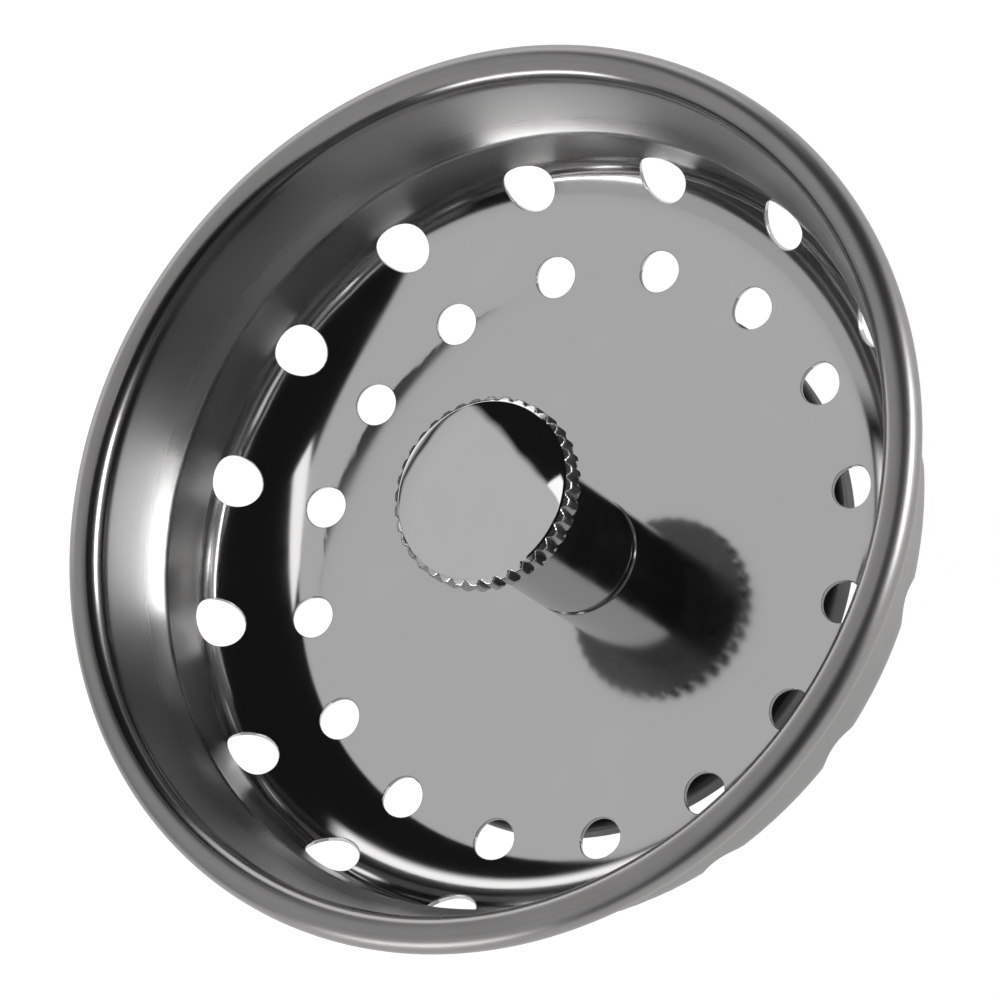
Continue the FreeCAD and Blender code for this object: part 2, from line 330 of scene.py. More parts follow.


# chrome: bright on the knob's face, softer on its band and on the post, dull underneath, where the darker
# colour is painted shade
plate = {
    "bright": {"colour": 0.56, "roughness": (0.02, 0.05), "waveDepth": 0.00003},
    "soft": {"colour": 0.54, "roughness": (0.13, 0.18), "waveDepth": 0.00001},
    "knurl": {"colour": 0.6, "roughness": (0.2, 0.27), "waveDepth": 0.000004},
    # dull: rougher, and its darker colour is painted shade on the knob's underside
    "dull": {"colour": 0.32, "roughness": (0.25, 0.32), "waveDepth": 0.000004},
    "warm": -0.002, "mottle": 0.01, "waveScale": 260,
}


def chromePlate(name, finish):
    material, nodes, shader, place = newMaterial(name)
    cloud = nodes.noise(place, plate["waveScale"], detail=3.0)
    shader.inputs["Metallic"].default_value = 1.0
    steps = (-plate["mottle"], plate["mottle"])
    dark, light = (grey(finish["colour"] + step, plate["warm"]) for step in steps)
    nodes.put(nodes.tint(cloud, dark, light), shader.inputs["Base Color"])
    nodes.put(nodes.ramp(cloud, *noiseSpan, *finish["roughness"]), shader.inputs["Roughness"])
    wave = nodes.noise(place, plate["waveScale"], detail=1.0)
    nodes.put(nodes.bump(wave, finish["waveDepth"]), shader.inputs["Normal"])
    return material


# moulded black rubber, and nylon in its natural colour
moulded = {
    "rubber": {"colour": 0.014, "bloom": 2.2, "roughness": (0.42, 0.6), "cloudScale": 220,
               "poreScale": 5200, "poreDepth": 0.00002, "poreStrength": 0.6},
    "nylon": {"colour": (0.80, 0.78, 0.71), "shade": 0.9, "roughness": (0.35, 0.5), "cloudScale": 180,
              "flowScale": 2600, "flowDepth": 0.00001, "flowStrength": 0.5},
}


def blackRubber(finish):
    material, nodes, shader, place = newMaterial("black_rubber")
    cloud = nodes.noise(place, finish["cloudScale"], detail=3.0)
    pores = nodes.noise(place, finish["poreScale"], detail=3.0)
    bloom = nodes.tint(cloud, grey(finish["colour"]), grey(finish["colour"] * finish["bloom"]))
    nodes.put(bloom, shader.inputs["Base Color"])
    nodes.put(nodes.ramp(cloud, *noiseSpan, *finish["roughness"]), shader.inputs["Roughness"])
    nodes.put(nodes.bump(pores, finish["poreDepth"], finish["poreStrength"]), shader.inputs["Normal"])
    return material


def naturalNylon(finish):
    material, nodes, shader, place = newMaterial("natural_nylon")
    cloud = nodes.noise(place, finish["cloudScale"], detail=4.0)
    flow = nodes.noise(place, finish["flowScale"])
    light = (*finish["colour"], 1.0)
    dark = (*(part * finish["shade"] for part in finish["colour"]), 1.0)
    nodes.put(nodes.tint(cloud, dark, light), shader.inputs["Base Color"])
    nodes.put(nodes.ramp(cloud, *noiseSpan, *finish["roughness"]), shader.inputs["Roughness"])
    nodes.put(nodes.bump(flow, finish["flowDepth"], finish["flowStrength"]), shader.inputs["Normal"])
    return material


# zinc plate and brass, with fine tool marks and a little tarnish
hardware = {
    "zinc": (0.56, 0.57, 0.59), "brass": (0.70, 0.50, 0.22), "tarnish": 0.78, "tarnishFrom": (0.35, 0.7),
    "roughness": (0.2, 0.4), "cloudScale": 420, "toolScale": 6000, "toolDepth": 0.000004,
}


def turnedMetal(name, colour):
    material, nodes, shader, place = newMaterial(name)
    lines = roundTheAxis(nodes, place)[0]
    tool = nodes.noise(lines, hardware["toolScale"])
    cloud = nodes.noise(place, hardware["cloudScale"], detail=4.0)
    shader.inputs["Metallic"].default_value = 1.0
    dull = (*(part * hardware["tarnish"] for part in colour), 1.0)
    spots = nodes.ramp(cloud, *hardware["tarnishFrom"])
    nodes.put(nodes.tint(spots, (*colour, 1.0), dull), shader.inputs["Base Color"])
    nodes.put(nodes.ramp(cloud, *noiseSpan, *hardware["roughness"]), shader.inputs["Roughness"])
    nodes.put(nodes.bump(tool, hardware["toolDepth"]), shader.inputs["Normal"])
    return material


steelInside = cupSteel("cup_steel_inside", steel["inside"])
# the outside's copy is darkened with painted shade
steelOutsidePaintedShade = cupSteel("cup_steel_outside_painted_shade", steel["outside"])
chromeBright = chromePlate("chrome_bright", plate["bright"])
chromeSoft = chromePlate("chrome_soft", plate["soft"])
chromeDullPaintedShade = chromePlate("chrome_dull_painted_shade", plate["dull"])
chromeKnurl = chromePlate("chrome_knurl", plate["knurl"])
rubber = blackRubber(moulded["rubber"])
nylon = naturalNylon(moulded["nylon"])
zinc = turnedMetal("zinc_plate", hardware["zinc"])
brass = turnedMetal("turned_brass", hardware["brass"])
print("materials ready")


# strainer cup: one sheet pressed along a path, with two rings of drain holes
cup = {
    "sheet": 0.5, "boreRadius": 4.28, "floorRadius": 25.55,
    "bowlRadius": 12.5, "bowlAngle": 48, "bendRadius": 4.0,
    "flatRadius": 26.5, "knuckleRadius": 8.0, "knuckleAngle": 15.7,
    "shoulderHeight": 12.0, "shoulderRadius": 1.0, "curlWrap": 280,
    "holes": 16, "perHole": 16, "sideSteps": 9, "edgeRound": 0.09,
    "innerHole": {"outset": 1.57, "half": (1.95, 1.95), "band": 3.0},
    "outerHole": {"half": (2.58, 2.33), "band": 3.35},
    "ringShares": (0.0, 0.05, 0.16, 0.36, 0.65),             # from a hole's rim out to the rows beside it
    # the widest gap between rows of points on each run of the path
    "rowGaps": {"floor": 3.0, "knuckle": 0.4, "bowl": 0.7, "bend": 0.25,
                "wall": 2.0, "shoulder": 0.12, "flare": 0.35, "curl": 0.16},
    "rowClear": 0.12,
    # how far a face has to look towards the axis, or up, to have the inside's finish; the rest get the
    # outside's copy, darkened with painted shade
    "crestFacing": 0.4, "wallFacing": 0.05, "floorFacing": 0.3,
}


def cupPath():
    bowlAngle = math.radians(cup["bowlAngle"])
    floorTop = cupBottom + cup["sheet"]
    inset = cup["bowlRadius"] - cup["bendRadius"]
    wall = cup["floorRadius"] + inset * math.sin(bowlAngle) + cup["bendRadius"]
    bendTop = floorTop + cup["bowlRadius"] - inset * math.cos(bowlAngle)
    # the floor stays flat a little further, then turns up over a tighter knuckle to the same outer holes
    knuckle = math.radians(cup["knuckleAngle"])
    reach = cup["floorRadius"] + cup["bowlRadius"] * math.sin(bowlAngle) - cup["flatRadius"]
    bowl = (reach - cup["knuckleRadius"] * math.sin(knuckle)) / (math.sin(bowlAngle) - math.sin(knuckle))
    # the flare is an arc, upright where it meets the curl
    lip = rimRadius - 2 * curlRadius
    out, up = lip - wall, curlLevel - (floorTop + cup["shoulderHeight"])
    flare = (out ** 2 + up ** 2) / (2 * out)
    # the shoulder's round touches the wall and the flare
    turnOut = cup["shoulderRadius"]
    swing = math.acos((wall + turnOut - lip + flare) / (flare + turnOut))
    shoulderStart = curlLevel - (flare + turnOut) * math.sin(swing)
    return layPath((cup["boreRadius"], floorTop), 0.0, [
        (cup["flatRadius"] - cup["boreRadius"], 0),
        (cup["knuckleRadius"] * knuckle, 1 / cup["knuckleRadius"]),
        (bowl * (bowlAngle - knuckle), 1 / bowl),
        (cup["bendRadius"] * (math.pi / 2 - bowlAngle), 1 / cup["bendRadius"]),
        (shoulderStart - bendTop, 0),
        (turnOut * swing, -1 / turnOut),
        (flare * swing, 1 / flare),
        (curlRadius * math.radians(cup["curlWrap"]), -1 / curlRadius),
    ])


sheetPath = cupPath()
runEnds = dict(zip(cup["rowGaps"], np.cumsum([run[0] for run in sheetPath])))
skins = ((0.0, 1), (cup["sheet"], -1))                       # depth in the sheet, and the side it faces
cupAround = cup["holes"] * cup["perHole"]


def onSheet(s, angle, depth):
    r, z, nr, nz = pathAt(sheetPath, s)
    place = onCircle(r - nr * depth, angle, z - nz * depth)
    return Vector(place), Vector(onCircle(nr, angle, nz))


# angle 0 is the middle of a hole, and a row starts half a sector before it
def rowAngle(k):
    return turn * (k / cupAround - 0.5 / cup["holes"])


# a ring of holes, by where their middles lie along the sheet
def holeRing(at, sizes):
    low, high = at - sizes["band"], at + sizes["band"]
    return {**sizes, "at": at, "low": low, "high": high, "radius": pathAt(sheetPath, at)[0]}


drainHoles = [
    holeRing(cup["floorRadius"] - cup["boreRadius"] + cup["innerHole"]["outset"], cup["innerHole"]),
    holeRing(runEnds["bowl"], cup["outerHole"]),
]


# where the rows of points cross the path: close together where it bends, and none across the holes
def rowSpots():
    spots, start = [0.0], 0.0
    for run, end in runEnds.items():
        steps = max(1, math.ceil((end - start) / cup["rowGaps"][run]))
        spots += [start + (end - start) * k / steps for k in range(1, steps + 1)]
        start = end
    for hole in drainHoles:
        clear = hole["band"] + cup["rowClear"]
        spots = [s for s in spots if abs(s - hole["at"]) > clear]
    for hole in drainHoles:
        spots += [hole["low"], hole["high"]]
    return sorted(spots)


# places up one side of the grid round a hole, between its corners
def sideSpots(hole):
    steps = cup["sideSteps"]
    return [hole["low"] + (hole["high"] - hole["low"]) * j / steps for j in range(1, steps)]


# the outline of the grid round a hole, along the sheet and round it, from the hole's middle
def gridOutline(hole):
    shares = [k / cup["perHole"] - 0.5 for k in range(cup["perHole"] + 1)]
    marks = [(hole["low"], share) for share in shares]
    marks += [(s, 0.5) for s in sideSpots(hole)]
    marks += [(hole["high"], share) for share in reversed(shares)]
    marks += [(s, -0.5) for s in reversed(sideSpots(hole))]
    return [(s - hole["at"], share * turn / cup["holes"] * hole["radius"]) for s, share in marks]


# the point of a hole's rim that a line from its middle to a spot crosses
def holeRim(spot, half, grow):
    ray = math.atan2(spot[1], spot[0])
    reach = 1 / math.hypot(math.cos(ray) / (half[0] + grow), math.sin(ray) / (half[1] + grow))
    return reach * math.cos(ray), reach * math.sin(ray)


# a sheet's rounded edge as (tilt of the normal, growth of the outline, depth)
def edgeSteps():
    e, steps = cup["edgeRound"], []
    for tilt in (math.radians(degrees) for degrees in (30, 60, 90)):
        steps.append((tilt, e * (1 - math.sin(tilt)), e * (1 - math.cos(tilt))))
    return steps + [(math.pi - tilt, grow, cup["sheet"] - depth) for tilt, grow, depth in reversed(steps)]


# points, normals and faces of the cup, as they are gathered
class CupMesh:
    def __init__(self):
        self.points, self.normals, self.faces = [], [], []

    def point(self, place, normal):
        self.points.append(tuple(place))
        self.normals.append(tuple(normal))
        return len(self.points) - 1

    def skinPoint(self, s, angle, depth, side):
        place, normal = onSheet(s, angle, depth)
        return self.point(place, normal * side)

    def edgePoint(self, place, normal, beside, tilt, off=0.0):
        outward = (place - beside).normalized()
        return self.point(place - outward * off, normal * math.cos(tilt) + outward * math.sin(tilt))

    def row(self, s, depth, side):
        return [self.skinPoint(s, rowAngle(k), depth, side) for k in range(cupAround)]

    def join(self, rings):
        self.faces += joinRings(rings)

    # the rolled edge between the two skins at an end of the path
    def edgeRows(self, s, outward):
        rows = []
        for tilt, grow, depth in edgeSteps():
            row = []
            for k in range(cupAround):
                beside = onSheet(s - outward * cup["edgeRound"], rowAngle(k), depth)[0]
                row.append(self.edgePoint(*onSheet(s, rowAngle(k), depth), beside, tilt, grow))
            rows.append(row)
        return rows

    # the line between two sectors, from the row below a hole to the row above it
    def sideLine(self, hole, sector, depth, side):
        angle = rowAngle(sector * cup["perHole"])
        return [self.skinPoint(s, angle, depth, side) for s in sideSpots(hole)]

    # the rings of a hole's grid on one skin, from its rim out to the loop of points round it
    def holeGrid(self, hole, centre, loop, depth, side):
        rings = []
        for share in cup["ringShares"]:
            ring = []
            for spot in gridOutline(hole):
                rim = holeRim(spot, hole["half"], cup["edgeRound"])
                along, across = (near + (far - near) * share for near, far in zip(rim, spot))
                ring.append(self.skinPoint(hole["at"] + along, centre + across / hole["radius"], depth, side))
            rings.append(ring)
        self.join([*rings, loop])
        return rings[0]

    # a hole's wall, rounded into both skins
    def holeWall(self, hole, centre, rims):
        rings = []
        for tilt, grow, depth in edgeSteps():
            ring = []
            for spot in gridOutline(hole):
                near, far = (holeRim(spot, hole["half"], wider) for wider in (grow, grow + cup["sheet"]))
                place, normal = onSheet(hole["at"] + near[0], centre + near[1] / hole["radius"], depth)
                beside = onSheet(hole["at"] + far[0], centre + far[1] / hole["radius"], depth)[0]
                ring.append(self.edgePoint(place, normal, beside, tilt))
            rings.append(ring)
        self.join([rims[0], *rings, rims[1]])

    # a whole ring of holes, between the rows below and above it on each skin
    def punch(self, hole, rowPairs):
        sectors, perHole = cup["holes"], cup["perHole"]
        lines = [[self.sideLine(hole, sector, *skin) for sector in range(sectors)] for skin in skins]
        for sector in range(sectors):
            centre = turn * sector / sectors
            columns = [(sector * perHole + k) % cupAround for k in range(perHole + 1)]
            rims = []
            for skin, (below, above), line in zip(skins, rowPairs, lines):
                loop = [below[k] for k in columns] + line[(sector + 1) % sectors]
                loop += [above[k] for k in reversed(columns)] + line[sector][::-1]
                rims.append(self.holeGrid(hole, centre, loop, *skin))
            self.holeWall(hole, centre, rims)


def strainerCup():
    sheet, spots = CupMesh(), rowSpots()
    sheetRows = [[sheet.row(s, *skin) for s in spots] for skin in skins]
    punched = {spots.index(hole["low"]): hole for hole in drainHoles}
    for rows in sheetRows:
        for k in range(len(rows) - 1):
            if k not in punched:
                sheet.join(rows[k:k + 2])
    for end, outward in ((-1, 1), (0, -1)):
        inner, outer = (rows[end] for rows in sheetRows)
        sheet.join([inner, *sheet.edgeRows(spots[end], outward), outer])
    for k, hole in punched.items():
        sheet.punch(hole, [rows[k:k + 2] for rows in sheetRows])
    return addPiece("strainer_cup_shell", sheet.points, sheet.faces, sheet.normals)


cupPiece = strainerCup()
dress(cupPiece, "strainer_cup", "basket", "cup_steel", steelInside, steelOutsidePaintedShade)


# the outside of the sheet, from the top of the curl, is duller, and darker with painted shade: its low base
# colour stands in for the shaded ground it reflects
def finishCup(piece):
    for face in piece.data.polygons:
        x, y, z = face.center / mm
        toAxis = -(face.normal.x * x + face.normal.y * y) / math.hypot(x, y)
        if z > 0:
            inside = toAxis > cup["crestFacing"]
        else:
            inside = toAxis > cup["wallFacing"] or face.normal.z > cup["floorFacing"]
        face.material_index = 0 if inside else 1


finishCup(cupPiece)


# knob: crowned face, bevelled edge and a knurled band, with the hub that goes down inside the post
knob = {
    "radius": 8.75, "crownRadius": 29.0, "crownEdge": 8.1, "crownRound": 0.25, "bevel": 35,
    "bandRound": 0.3, "chamfer": 0.25, "faceSteps": (24, 5, 3, 6, 3),
    "teeth": 36, "perTooth": 10, "grooveDepth": 0.46, "grooveWidth": 1.05,
    "hubRadius": 4.4, "boreRadius": 3.225, "capWall": 1.5, "seatAbove": "post_sleeve", "paintedShadeFacing": -0.5,
}


# the section from the middle of the crown down to the tapped hole
def knobRows():
    low, high = boxOf("knob")
    seat = boxOf(knob["seatAbove"])[1].z
    crown, turnIn, turnDown = knob["crownRadius"], knob["crownRound"], knob["bandRound"]
    slant, bevel = math.asin(knob["crownEdge"] / crown), math.radians(knob["bevel"])
    slope = knob["radius"] - knob["crownEdge"]
    slope -= turnIn * (math.sin(bevel) - math.sin(slant)) + turnDown * (1 - math.sin(bevel))
    slope /= math.cos(bevel)
    drop = crown * (1 - math.cos(slant)) + turnIn * (math.cos(slant) - math.cos(bevel))
    drop += slope * math.sin(bevel) + turnDown * math.cos(bevel)
    face = layPath((0.0, high.z), 0.0, [
        (crown * slant, -1 / crown),
        (turnIn * (bevel - slant), -1 / turnIn),
        (slope, 0),
        (turnDown * (math.pi / 2 - bevel), -1 / turnDown),
        (high.z - drop - seat - knob["chamfer"], 0),
    ])
    rows = [(0.0, high.z)]
    for run, steps in zip(face, knob["faceSteps"]):
        rows += [alongRun(run, run[0] * k / steps)[:2] for k in range(1, steps + 1)]
    tap = high.z - knob["capWall"]
    rows += [(knob["radius"] - knob["chamfer"], seat), (knob["hubRadius"], seat), (knob["hubRadius"], low.z)]
    rows += [(knob["boreRadius"], low.z), (knob["boreRadius"], tap), (0.0, tap)]
    return rows


def knurledKnob():
    points, rings = [], []
    around = knob["teeth"] * knob["perTooth"]
    halfGroove = knob["grooveWidth"] / 2
    for r, z in knobRows():
        spots = range(1) if r == 0 else range(around)
        rings.append([len(points) + k for k in spots])
        for k in spots:
            share = abs((k / knob["perTooth"]) % 1 - 0.5) * 2       # 1 in the groove, 0 on the tooth
            off = (1 - share) * math.pi * knob["radius"] / knob["teeth"]
            floor = knob["radius"] - knob["grooveDepth"] * max(0.0, 1 - off / halfGroove)
            points.append(onCircle(min(r, floor), turn * k / around, z))
    return addPiece("knob_knurled", points, joinRings(rings))


# the face is bright, the knurled band softer, and the underside isn't polished and is darkened with painted
# shade
def finishKnob(piece):
    band = (knob["radius"] - knob["grooveDepth"]) * mm
    for face in piece.data.polygons:
        if face.normal.z < knob["paintedShadeFacing"]:
            face.material_index = 1
        else:
            face.material_index = 2 if math.hypot(face.center.x, face.center.y) > band else 0


knobPiece = knurledKnob()
dress(knobPiece, "knob", "spindle", "chrome", chromeBright, chromeDullPaintedShade, chromeKnurl)
finishKnob(knobPiece)


# post: a plain tube with a rounded foot, recessed below for the bush
post = {
    "radius": 5.7, "bore": 4.45, "recess": 4.95, "recessHeight": 1.2,
    "footRound": 0.5, "edge": 0.08, "around": 160, "stepAngle": 10,
}


def postSleeve():
    low, high = boxOf("post_sleeve")
    e, recessTop = post["edge"], low.z + post["recessHeight"]
    rows = roundedRows([
        (post["bore"], high.z, e), (post["radius"], high.z, e), (post["radius"], low.z, post["footRound"]),
        (post["recess"], low.z, e), (post["recess"], recessTop, e), (post["bore"], recessTop, e),
    ], post["stepAngle"])
    return turnedPiece("post_tube", rows, post["around"])


dress(postSleeve(), "post_sleeve", "spindle", "chrome", chromeSoft)


# bush: a flange in the post's foot and a neck through the floor
bush = {"bore": 3.225, "flange": 4.9, "neck": 4.2, "flangeHeight": 1.2, "edge": 0.12, "around": 96}


def floorBush():
    low, high = boxOf("floor_bush")
    e, shelf = bush["edge"], high.z - bush["flangeHeight"]
    rows = roundedRows([
        (bush["bore"], high.z, e), (bush["flange"], high.z, e), (bush["flange"], shelf, e),
        (bush["neck"], shelf, e), (bush["neck"], low.z, e), (bush["bore"], low.z, e),
    ])
    return turnedPiece("bush_flanged", rows, bush["around"])


dress(floorBush(), "floor_bush", "spindle", "nylon", nylon)


# stem: a stud with a real thread on its tail, plain where it is hidden
stem = {
    "radius": 3.175, "pitch": 1.27, "threadDepth": 0.62, "chamfer": 0.8, "crestShare": 0.16, "rootShare": 0.2,
    "around": 72, "perPitch": 14, "fade": 1.4, "sharpAngle": 50,
}


def threadedStem():
    low, high = boxOf("stem")
    plainFrom = boxOf("hex_nut")[1].z
    count = math.ceil((plainFrom - low.z) / stem["pitch"] * stem["perPitch"])
    heights = [low.z + (plainFrom - low.z) * k / count for k in range(count + 1)]
    heights += [high.z - stem["chamfer"], high.z]
    points, rings = [], []
    for z in heights:
        rings.append([len(points) + k for k in range(stem["around"])])
        for k in range(stem["around"]):
            angle = turn * k / stem["around"]
            r = min(stem["radius"] - threadCut(z, angle, plainFrom), tipRadius(z, low.z, high.z))
            points.append(onCircle(r, angle, z))
    faces = [face[::-1] for face in joinRings(rings)]
    for end, ring in ((low.z, rings[0][::-1]), (high.z, rings[-1])):
        points.append((0.0, 0.0, end))
        faces += ringFaces([len(points) - 1], ring)
    return addPiece("stem_threaded", points, faces, sharpAngle=stem["sharpAngle"])


def threadCut(z, angle, plainFrom):
    phase = (z / stem["pitch"] - angle / turn) % 1
    across = abs(phase - 0.5) * 2                     # 0 at the crest, 1 at the root
    flank = (across - stem["crestShare"]) / (1 - stem["crestShare"] - stem["rootShare"])
    fade = min(1.0, max(0.0, (plainFrom - z) / stem["fade"]))
    return stem["threadDepth"] * min(1.0, max(0.0, flank)) * fade


def tipRadius(z, low, high):
    return stem["radius"] - max(0.0, stem["chamfer"] - (z - low)) - max(0.0, stem["chamfer"] - (high - z))


dress(threadedStem(), "stem", "spindle", "brass", brass)


# plain washers, above and below the stopper
washers = {"bore": 3.225, "thrustEdge": 0.2, "backingEdge": 0.22, "around": 128}


def washerRows(outer, low, high, edge):
    bore = washers["bore"]
    return roundedRows([(bore, high, edge), (outer, high, edge), (outer, low, edge), (bore, low, edge)])


def plainWasher(name, node, edge):
    low, high = boxOf(node)
    return turnedPiece(name, washerRows(high.x, low.z, high.z, edge), washers["around"])


thrustPiece = plainWasher("thrust_washer_nylon", "thrust_washer", washers["thrustEdge"])
dress(thrustPiece, "thrust_washer", "spindle", "nylon", nylon)
backingPiece = plainWasher("backing_washer_steel", "backing_washer", washers["backingEdge"])
dress(backingPiece, "backing_washer", "spindle", "zinc_steel", zinc)


# stopper: a moulded disc with a bevelled underside, a sealing ring and a recess for its washer
stopper = {
    "topRound": 0.6, "edgeHeight": 2.2, "bevel": 2.6, "recessRadius": 10.5, "recessDepth": 0.4,
    "soft": 0.35, "recessRound": 0.15, "boreRound": 0.2, "around": 192,
}


def rubberStopper():
    low, high = boxOf("stopper")
    soft, inner, recessTop = stopper["soft"], stopper["recessRound"], low.z + stopper["recessDepth"]
    rows = roundedRows([
        (washers["bore"], high.z, stopper["boreRound"]), (high.x, high.z, stopper["topRound"]),
        (high.x, high.z - stopper["edgeHeight"], soft), (high.x - stopper["bevel"], low.z, soft),
        (stopper["recessRadius"], low.z, inner), (stopper["recessRadius"], recessTop, inner),
        (washers["bore"], recessTop, stopper["boreRound"]),
    ])
    return turnedPiece("stopper_rubber", rows, stopper["around"])


dress(rubberStopper(), "stopper", "spindle", "rubber", rubber)


# lock washer: one turn of square wire, cut through
lock = {"slit": 14, "edge": 0.16, "steps": 120}


def lockWasher():
    low, high = boxOf("lock_washer")
    rows = washerRows(max(high.x, -low.x, high.y), low.z, high.z, lock["edge"])
    sweep = turn - math.radians(lock["slit"])
    points, rings = [], []
    for k in range(lock["steps"] + 1):
        rings.append([len(points) + i for i in range(len(rows))])
        points += [onCircle(r, sweep * k / lock["steps"], z) for r, z, _, _ in rows]
    faces = joinRings(rings) + [tuple(rings[0]), tuple(rings[-1][::-1])]
    return addPiece("lock_washer_split", points, [face[::-1] for face in faces])


dress(lockWasher(), "lock_washer", "spindle", "zinc_steel", zinc)


# hex nut: corners turned off at both faces, so the chamfer meets each flat in a curve
nut = {
    "flats": 11.1, "chamfer": 0.7, "flatInset": 0.05, "faceShare": 0.97, "perFlat": 16,
    "bore": 3.225, "boreChamfer": 0.45, "sharpAngle": 12,
}


def hexNut():
    low, high = boxOf("hex_nut")
    apothem = nut["flats"] / 2
    halfFlat = math.pi / 6
    corner = apothem / math.cos(halfFlat)
    bore, funnel, face = nut["bore"], nut["boreChamfer"], apothem * nut["faceShare"]
    around = 6 * nut["perFlat"]
    points, columns = [], []
    for k in range(around):
        angle = turn * k / around
        within = (angle + halfFlat) % (2 * halfFlat) - halfFlat
        r = apothem / math.cos(halfFlat - abs(within))
        drop = nut["chamfer"] * (r - apothem) / (corner - apothem) + nut["flatInset"]
        section = [
            (bore, low.z + funnel), (bore + funnel, low.z), (face, low.z), (r, low.z + drop),
            (r, high.z - drop), (face, high.z), (bore + funnel, high.z), (bore, high.z - funnel),
        ]
        columns.append([len(points) + i for i in range(len(section))])
        points += [onCircle(x, angle, z) for x, z in section]
    faces = joinRings(columns + columns[:1])
    return addPiece("hex_nut_brass", points, faces, sharpAngle=nut["sharpAngle"])


dress(hexNut(), "hex_nut", "spindle", "brass", brass)


# studio: a large card overhead, the dark room beside it, and cards and a lamp round the horizon
studio = {
    "dark": 0.012, "overhead": 0.75, "overheadFar": 0.65, "overheadFade": (0.35, 0.62),
    "overheadLow": 27.5, "edge": 0.02,
    "overheadEdges": ((-11, 11), (-47, 11)),                  # azimuth, and degrees past the zenith
    "skylight": {"azimuth": -11, "past": (10.5, 17), "along": (-13, 12), "soft": 0.7, "level": 1.7,
                 "aboveHorizon": (0.0, 0.1)},
    # azimuth, half width, lower and upper elevation, soft edge and level of each card near the horizon
    "cards": {
        "backSweep": (72, 42, -10, 24, 3, 1.8),
        "leftCard": (186, 16, 4, 16, 3, 7.0),
        "leftFill": (158, 38, 8, 30, 3, 0.62),
        "frontLeft": (255, 38, -10, 24, 4, 0.12),
        "frontHalo": (322, 30, -10, 14, 4, 1.3),
        "frontLamp": (321, 17, 1, 14, 2, 14.0),
        "rightLow": (8, 16, -10, 9, 3, 0.5),
    },
}


def aim(azimuth, elevation):
    a, e = math.radians(azimuth), math.radians(elevation)
    return math.cos(e) * math.cos(a), math.cos(e) * math.sin(a), math.sin(e)


# a ramp up, or with its levels given a ramp down, across an edge
def softEdge(nodes, value, edge, soft, *levels):
    return nodes.ramp(value, edge - soft, edge + soft, *levels)


def product(nodes, first, *others):
    for other in others:
        first = nodes.math("MULTIPLY", first, other)
    return first


def overheadCard(nodes, ray, up, elevation):
    edge = studio["edge"]
    sides = [softEdge(nodes, nodes.dot(ray, aim(azimuth, -past)), 0.0, edge, 1.0, 0.0)
             for azimuth, past in studio["overheadEdges"]]
    front = softEdge(nodes, elevation, math.radians(studio["overheadLow"]), edge)
    level = nodes.ramp(up, *studio["overheadFade"], studio["overheadFar"], studio["overhead"])
    return product(nodes, *sides, front, level)


def skylight(nodes, ray, up):
    strip = studio["skylight"]
    soft = math.radians(strip["soft"])
    near, far = (nodes.dot(ray, aim(strip["azimuth"], -past)) for past in strip["past"])
    along = nodes.dot(ray, aim(strip["azimuth"] + 90, 0))
    start, end = (math.sin(math.radians(side)) for side in strip["along"])
    return product(
        nodes, softEdge(nodes, near, 0.0, soft), softEdge(nodes, far, 0.0, soft, strip["level"], 0.0),
        softEdge(nodes, along, start, soft), softEdge(nodes, along, end, soft, 1.0, 0.0),
        nodes.ramp(up, *strip["aboveHorizon"]))


def horizonCard(nodes, ray, flat, elevation, azimuth, half, low, high, soft, level):
    near = nodes.math("DIVIDE", nodes.dot(ray, aim(azimuth, 0)), flat)
    across = nodes.ramp(near, *(math.cos(math.radians(side)) for side in (half + soft, max(half - soft, 0))))
    above = nodes.ramp(elevation, math.radians(low - soft), math.radians(low + soft))
    below = nodes.ramp(elevation, math.radians(high - soft), math.radians(high + soft), level, 0.0)
    return product(nodes, across, above, below)


def studioSky():
    world = bpy.data.worlds.new("studio")
    bpy.context.scene.world = world
    world.use_nodes = True
    nodes = Nodes(world.node_tree)
    world.node_tree.nodes.clear()
    ray = nodes.add("ShaderNodeTexCoord").outputs["Generated"]
    up = nodes.dot(ray, (0, 0, 1))
    elevation = nodes.math("ARCSINE", up)
    # a little over 1, so that it isn't zero straight up
    flat = nodes.math("SQRT", nodes.math("SUBTRACT", 1.0001, nodes.math("MULTIPLY", up, up)))
    lights = [overheadCard(nodes, ray, up, elevation), skylight(nodes, ray, up)]
    lights += [horizonCard(nodes, ray, flat, elevation, *card) for card in studio["cards"].values()]
    sky = studio["dark"]
    for light in lights:
        sky = nodes.math("MAXIMUM", light, sky)
    # the camera itself sees white
    seen = nodes.add("ShaderNodeLightPath").outputs["Is Camera Ray"]
    unseen = nodes.math("SUBTRACT", 1.0, seen)
    back = nodes.add("ShaderNodeBackground")
    nodes.put(nodes.math("ADD", seen, nodes.math("MULTIPLY", sky, unseen)), back.inputs["Color"])
    nodes.put(back.outputs[0], nodes.add("ShaderNodeOutputWorld").inputs["Surface"])


studioSky()


# floor: white to the eye and in the metal, with the object's shadow on it, and clear from below
ground = {"half": 3.0, "white": 0.9, "shadowed": 0.3, "bounce": 0.8}


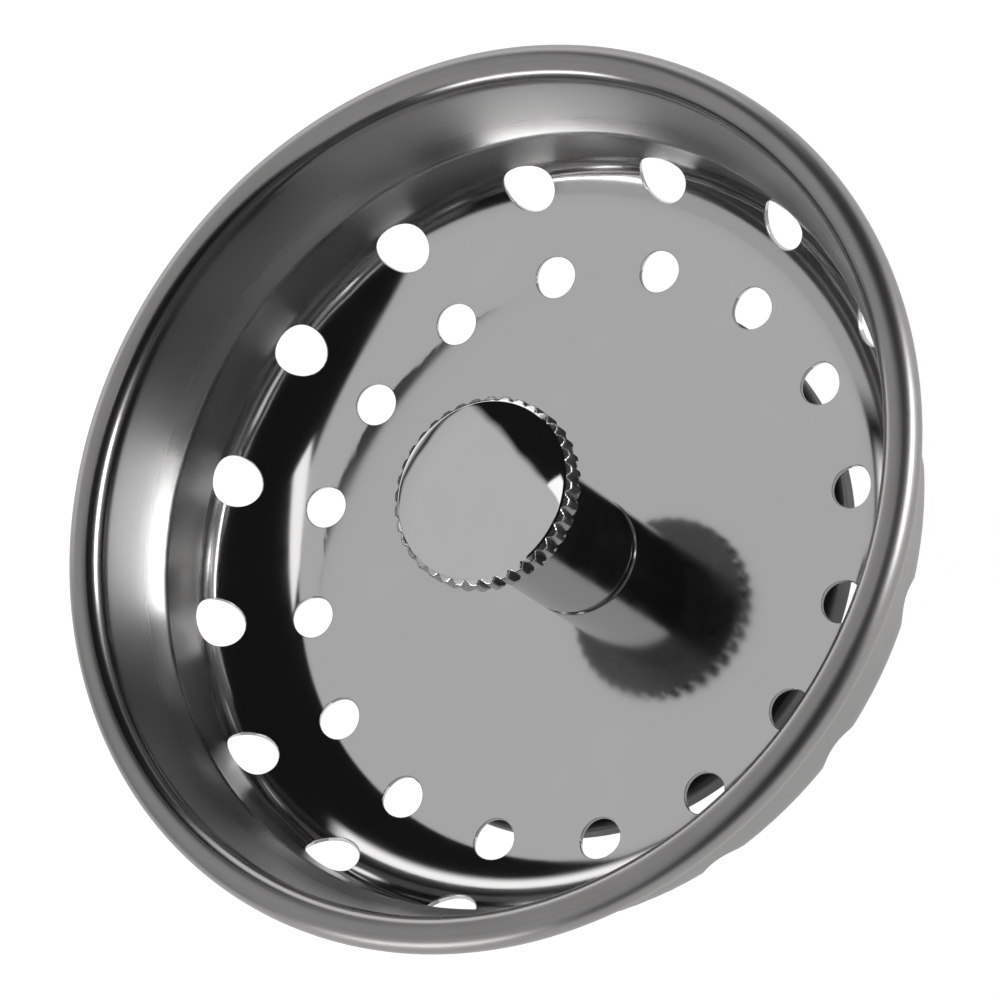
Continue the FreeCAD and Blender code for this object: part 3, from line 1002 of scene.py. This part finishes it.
def whiteFloor():
    material = bpy.data.materials.new("white_floor")
    material.use_nodes = True
    nodes = Nodes(material.node_tree)
    material.node_tree.nodes.clear()

    def diffuse(level):
        node = nodes.add("ShaderNodeBsdfDiffuse")
        node.inputs["Color"].default_value = grey(level)
        return node.outputs[0]

    def blend(kind, *inputs):
        node = nodes.add(kind)
        for value, socket in zip(inputs, node.inputs):
            nodes.put(value, socket)
        return node.outputs[0]

    path = nodes.add("ShaderNodeLightPath").outputs
    seen = nodes.math("MAXIMUM", path["Is Camera Ray"], path["Is Glossy Ray"])
    seen = nodes.math("MAXIMUM", seen, path["Is Transmission Ray"])
    glow = nodes.add("ShaderNodeEmission")
    glow.inputs["Strength"].default_value = ground["white"]
    shown = blend("ShaderNodeAddShader", glow.outputs[0], diffuse(ground["shadowed"]))
    top = blend("ShaderNodeMixShader", seen, diffuse(ground["bounce"]), shown)
    under = nodes.add("ShaderNodeNewGeometry").outputs["Backfacing"]
    clear = nodes.add("ShaderNodeBsdfTransparent").outputs[0]
    sides = blend("ShaderNodeMixShader", under, top, clear)
    nodes.put(sides, nodes.add("ShaderNodeOutputMaterial").inputs["Surface"])
    return material


def studioFloor():
    half = ground["half"]
    corners = [(-half, -half), (half, -half), (half, half), (-half, half)]
    mesh = bpy.data.meshes.new("studio_floor")
    mesh.from_pydata([(x, y, stemEnd * mm) for x, y in corners], [], [(0, 1, 2, 3)])
    mesh.materials.append(whiteFloor())
    floor = bpy.data.objects.new("studio_floor", mesh)
    bpy.context.scene.collection.objects.link(floor)


studioFloor()
print("studio ready")


# camera: above and in front, rolled so that the axis leans to the upper left; the middle of the cup's
# floor is this far to the right, down and away, in millimetres
view = {
    "azimuth": 2.66, "elevation": 57.59, "roll": -56.7, "lens": 214.7, "sensor": 36.0,
    "right": 7.011, "down": 4.804, "away": 538.566,
}


def photoCamera():
    data = bpy.data.cameras.new("photo_camera")
    data.lens = view["lens"]
    data.sensor_width = view["sensor"]
    camera = bpy.data.objects.new("photo_camera", data)
    bpy.context.scene.collection.objects.link(camera)
    a, e = math.radians(view["azimuth"]), math.radians(view["elevation"])
    back = Vector((math.sin(a) * math.cos(e), -math.cos(a) * math.cos(e), math.sin(e)))
    roll = Matrix.Rotation(math.radians(view["roll"]), 3, "Z")
    turned = (-back).to_track_quat("-Z", "Y").to_matrix() @ roll
    floorTop = Vector((0, 0, (cupBottom + cup["sheet"]) * mm))
    offset = Vector((view["right"], -view["down"], -view["away"])) * mm
    camera.matrix_world = Matrix.Translation(floorTop - turned @ offset) @ turned.to_4x4()
    bpy.context.scene.camera = camera


photoCamera()
bpy.context.scene.view_settings.view_transform = "Standard"

bpy.context.view_layer.update()
print("all pieces placed")
